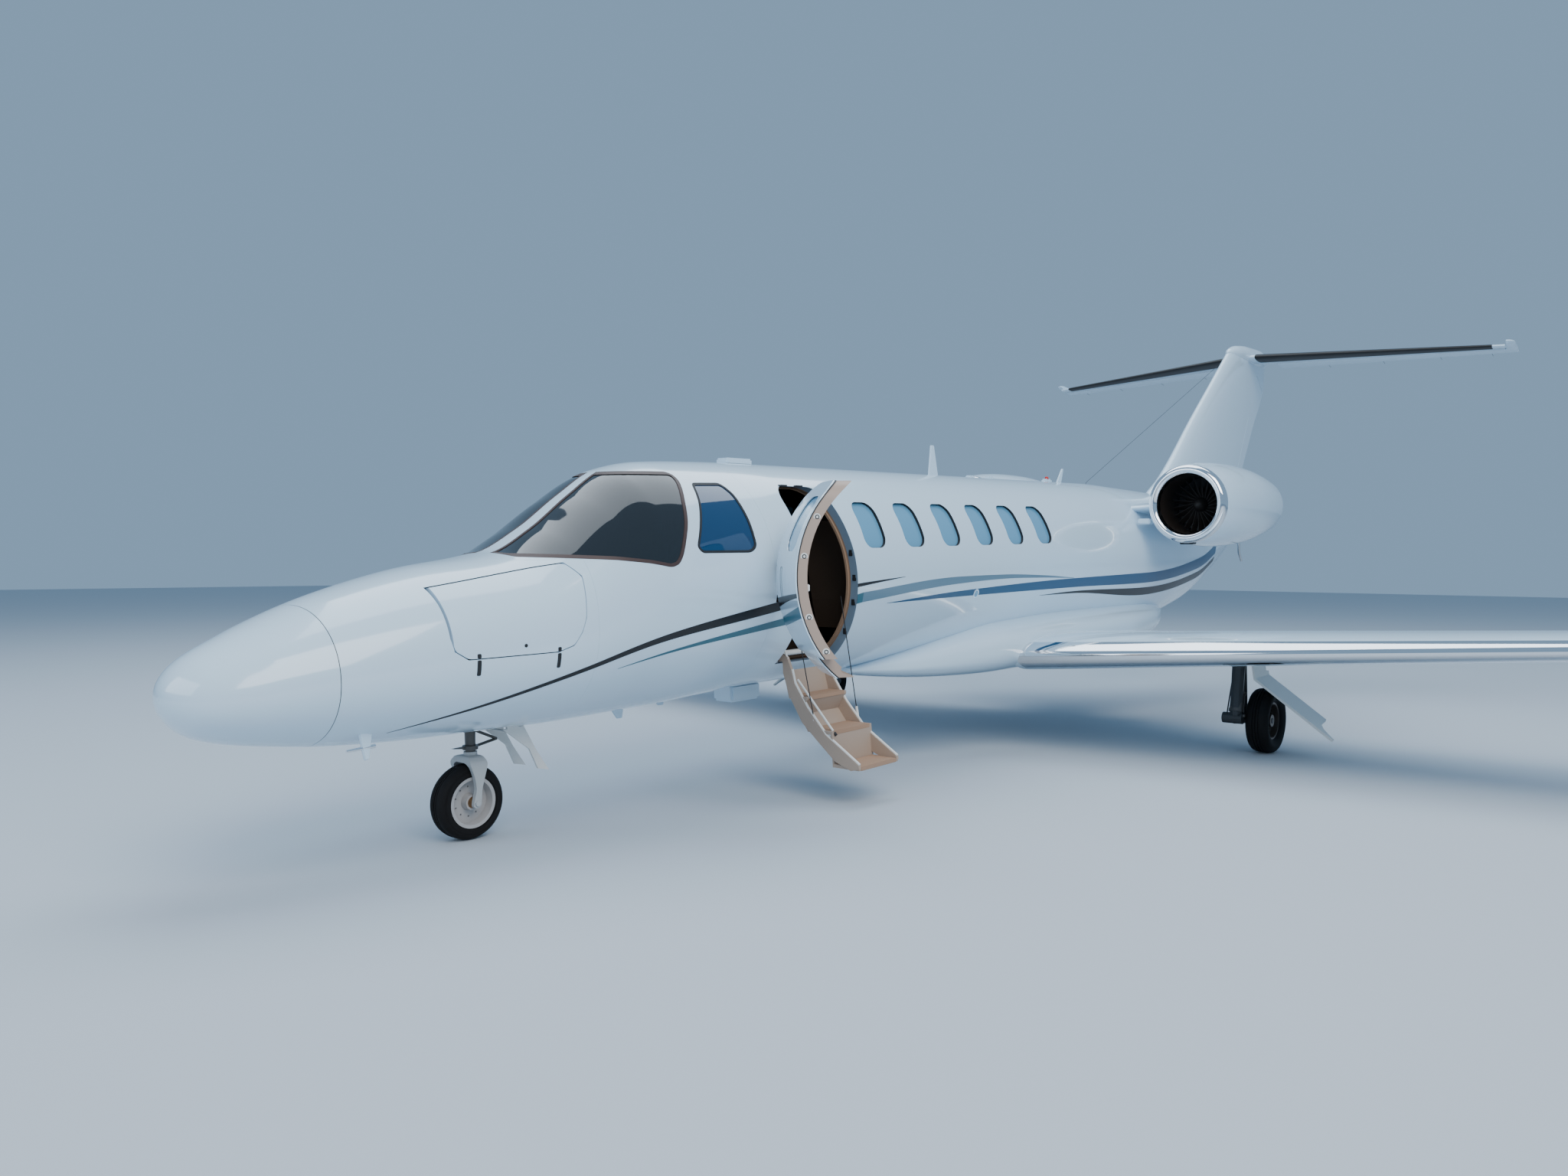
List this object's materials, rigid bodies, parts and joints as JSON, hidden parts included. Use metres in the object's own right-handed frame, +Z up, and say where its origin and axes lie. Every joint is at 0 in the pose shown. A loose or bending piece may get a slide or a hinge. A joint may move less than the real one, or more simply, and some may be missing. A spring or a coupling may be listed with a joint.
{
  "type": "business jet",
  "caption": "Light twin-engine business jet with a T-tail, standing on its wheels, with its cabin door open and its folding steps down",
  "frame": {"origin": "on the ground, under the middle of the bounding box", "axes": "+X aft, +Y to starboard, +Z up"},
  "size_m": [15.5644, 16.26, 4.7607],
  "materials": {
    "paint": "gloss white",
    "polished": "polished bright",
    "steel": "satin",
    "grey_paint": "satin light grey",
    "gear_metal": "dark satin",
    "glass": "tinted clear",
    "window_shade": "pale blue shade behind a clear pane",
    "tyre": "worn black",
    "stair_tan": "non-slip tan",
    "trim": "light tan laminate",
    "leather": "soft grain",
    "panel_dark": "matt black",
    "carpet": "cut pile",
    "fan_metal": "dark satin",
    "stripe_black": "gloss black",
    "stripe_blue": "gloss deep blue",
    "stripe_teal": "gloss blue-green",
    "stripe_grey": "gloss blue-grey",
    "light_lens": "coloured clear"
  },
  "bodies": {
    "airframe": {"radome": "paint", "nose_section": "paint", "cockpit_shell": "paint", "cabin_shell": "paint", "tail_cone": "paint", "windshield_left": "glass", "windshield_right": "glass", "cockpit_window_left": "glass", "cockpit_window_right": "glass", "cabin_windows_left": "window_shade", "cabin_windows_right": "window_shade", "door_hinge_pin": "steel", "stair_hinge": "steel", "cabin_floor": "carpet", "instrument_panel": "panel_dark", "cockpit_seats": "leather", "cabin_seats": "leather", "galley_cabinet": "trim", "belly_fairing": "paint", "wing_left": "paint", "wing_right": "paint", "leading_edge_left": "polished", "leading_edge_right": "polished", "fin": "paint", "stabilizer": "paint", "nacelle_left": "paint", "nacelle_right": "paint", "inlet_lip_left": "polished", "inlet_lip_right": "polished", "engine_left": "gear_metal", "engine_right": "gear_metal", "pylon_left": "paint", "pylon_right": "paint", "nose_leg": "steel", "nose_gear_doors": "paint", "main_leg_left": "gear_metal", "main_leg_right": "gear_metal", "main_gear_door_left": "paint", "main_gear_door_right": "paint"},
    "cabin_door": {"cabin_door": "paint"},
    "airstair": {"airstair": "stair_tan"},
    "baggage_door_left": {"baggage_door_left": "paint"},
    "baggage_door_right": {"baggage_door_right": "paint"},
    "nose_fork": {"nose_fork": "grey_paint"},
    "nose_wheel": {"nose_rim": "paint", "nose_tyre": "tyre"},
    "main_wheel_left": {"main_rim_left": "grey_paint", "main_tyre_left": "tyre"},
    "main_wheel_right": {"main_rim_right": "grey_paint", "main_tyre_right": "tyre"},
    "fan_left": {"fan_left": "fan_metal"},
    "fan_right": {"fan_right": "fan_metal"},
    "flap_left": {"flap_left": "paint"},
    "flap_right": {"flap_right": "paint"},
    "aileron_left": {"aileron_left": "paint"},
    "aileron_right": {"aileron_right": "paint"},
    "elevator_left": {"elevator_left": "paint"},
    "elevator_right": {"elevator_right": "paint"},
    "rudder": {"rudder": "paint"}
  },
  "joints": [
    {"name": "cabin_door_hinge", "type": "hinge", "parent": "airframe", "child": "cabin_door", "pos_m": [-4.14154, -0.751, 1.50154], "axis": [-0.0276, 0, 0.9996], "range_deg": [0, 127]},
    {"name": "airstair_hinge", "type": "hinge", "parent": "airframe", "child": "airstair", "pos_m": [-3.63939, -0.47, 0.99519], "axis": [-0.9996, 0, -0.0276], "range_deg": [0, 150]},
    {"name": "baggage_door_right_hinge", "type": "hinge", "parent": "airframe", "child": "baggage_door_right", "pos_m": [-6.53861, 0.37256, 1.50712], "axis": [0.9686, 0.1859, 0.1651], "range_deg": [0, 85]},
    {"name": "baggage_door_left_hinge", "type": "hinge", "parent": "airframe", "child": "baggage_door_left", "pos_m": [-6.53861, -0.37256, 1.50712], "axis": [-0.9686, 0.1859, -0.1651], "range_deg": [0, 85]},
    {"name": "nose_steering", "type": "hinge", "parent": "airframe", "child": "nose_fork", "pos_m": [-6.04601, 0, 0.22288], "axis": [-0.0276, 0, 0.9996], "range_deg": [-20, 20]},
    {"name": "nose_wheel_spin", "type": "hinge", "parent": "nose_fork", "child": "nose_wheel", "pos_m": [-6.078, 0, 0.222], "axis": [0, 1, 0], "continuous": true},
    {"name": "main_wheel_right_spin", "type": "hinge", "parent": "airframe", "child": "main_wheel_right", "pos_m": [0.38286, 2.465, 0.28], "axis": [0, 1, 0], "continuous": true},
    {"name": "main_wheel_left_spin", "type": "hinge", "parent": "airframe", "child": "main_wheel_left", "pos_m": [0.38286, -2.465, 0.28], "axis": [0, 1, 0], "continuous": true},
    {"name": "fan_right_spin", "type": "hinge", "parent": "airframe", "child": "fan_right", "pos_m": [1.90383, 1.285, 2.26051], "axis": [0.9996, 0, 0.0276], "continuous": true},
    {"name": "fan_left_spin", "type": "hinge", "parent": "airframe", "child": "fan_left", "pos_m": [1.90383, -1.285, 2.26051], "axis": [0.9996, 0, 0.0276], "continuous": true},
    {"name": "flap_left_hinge", "type": "hinge", "parent": "airframe", "child": "flap_left", "pos_m": [0.54551, -0.98, 0.88899], "axis": [0.0377, 0.9977, -0.0569], "range_deg": [0, 35]},
    {"name": "flap_right_hinge", "type": "hinge", "parent": "airframe", "child": "flap_right", "pos_m": [0.54551, 0.98, 0.88899], "axis": [-0.0377, 0.9977, 0.0569], "range_deg": [0, 35]},
    {"name": "aileron_left_hinge", "type": "hinge", "parent": "airframe", "child": "aileron_left", "pos_m": [0.38594, -5.2, 1.12977], "axis": [0.0377, 0.9977, -0.0569], "range_deg": [-20, 20]},
    {"name": "aileron_right_hinge", "type": "hinge", "parent": "airframe", "child": "aileron_right", "pos_m": [0.38594, 5.2, 1.12977], "axis": [-0.0377, 0.9977, 0.0569], "range_deg": [-20, 20]},
    {"name": "elevator_left_hinge", "type": "hinge", "parent": "airframe", "child": "elevator_left", "pos_m": [7.28038, -0.3, 4.57833], "axis": [-0.1151, 0.9928, 0.0339], "range_deg": [-32, 3]},
    {"name": "elevator_right_hinge", "type": "hinge", "parent": "airframe", "child": "elevator_right", "pos_m": [7.28038, 0.3, 4.57833], "axis": [0.1151, 0.9928, -0.0339], "range_deg": [-32, 3]},
    {"name": "rudder_hinge", "type": "hinge", "parent": "airframe", "child": "rudder", "pos_m": [6.44864, 0, 2.87406], "axis": [0.4442, 0, 0.8959], "range_deg": [-25, 25]}
  ],
  "couplings": [
    {"joint": "flap_right_hinge", "follows": "flap_left_hinge", "ratio": 1},
    {"joint": "aileron_right_hinge", "follows": "aileron_left_hinge", "ratio": -1},
    {"joint": "elevator_right_hinge", "follows": "elevator_left_hinge", "ratio": 1}
  ]
}
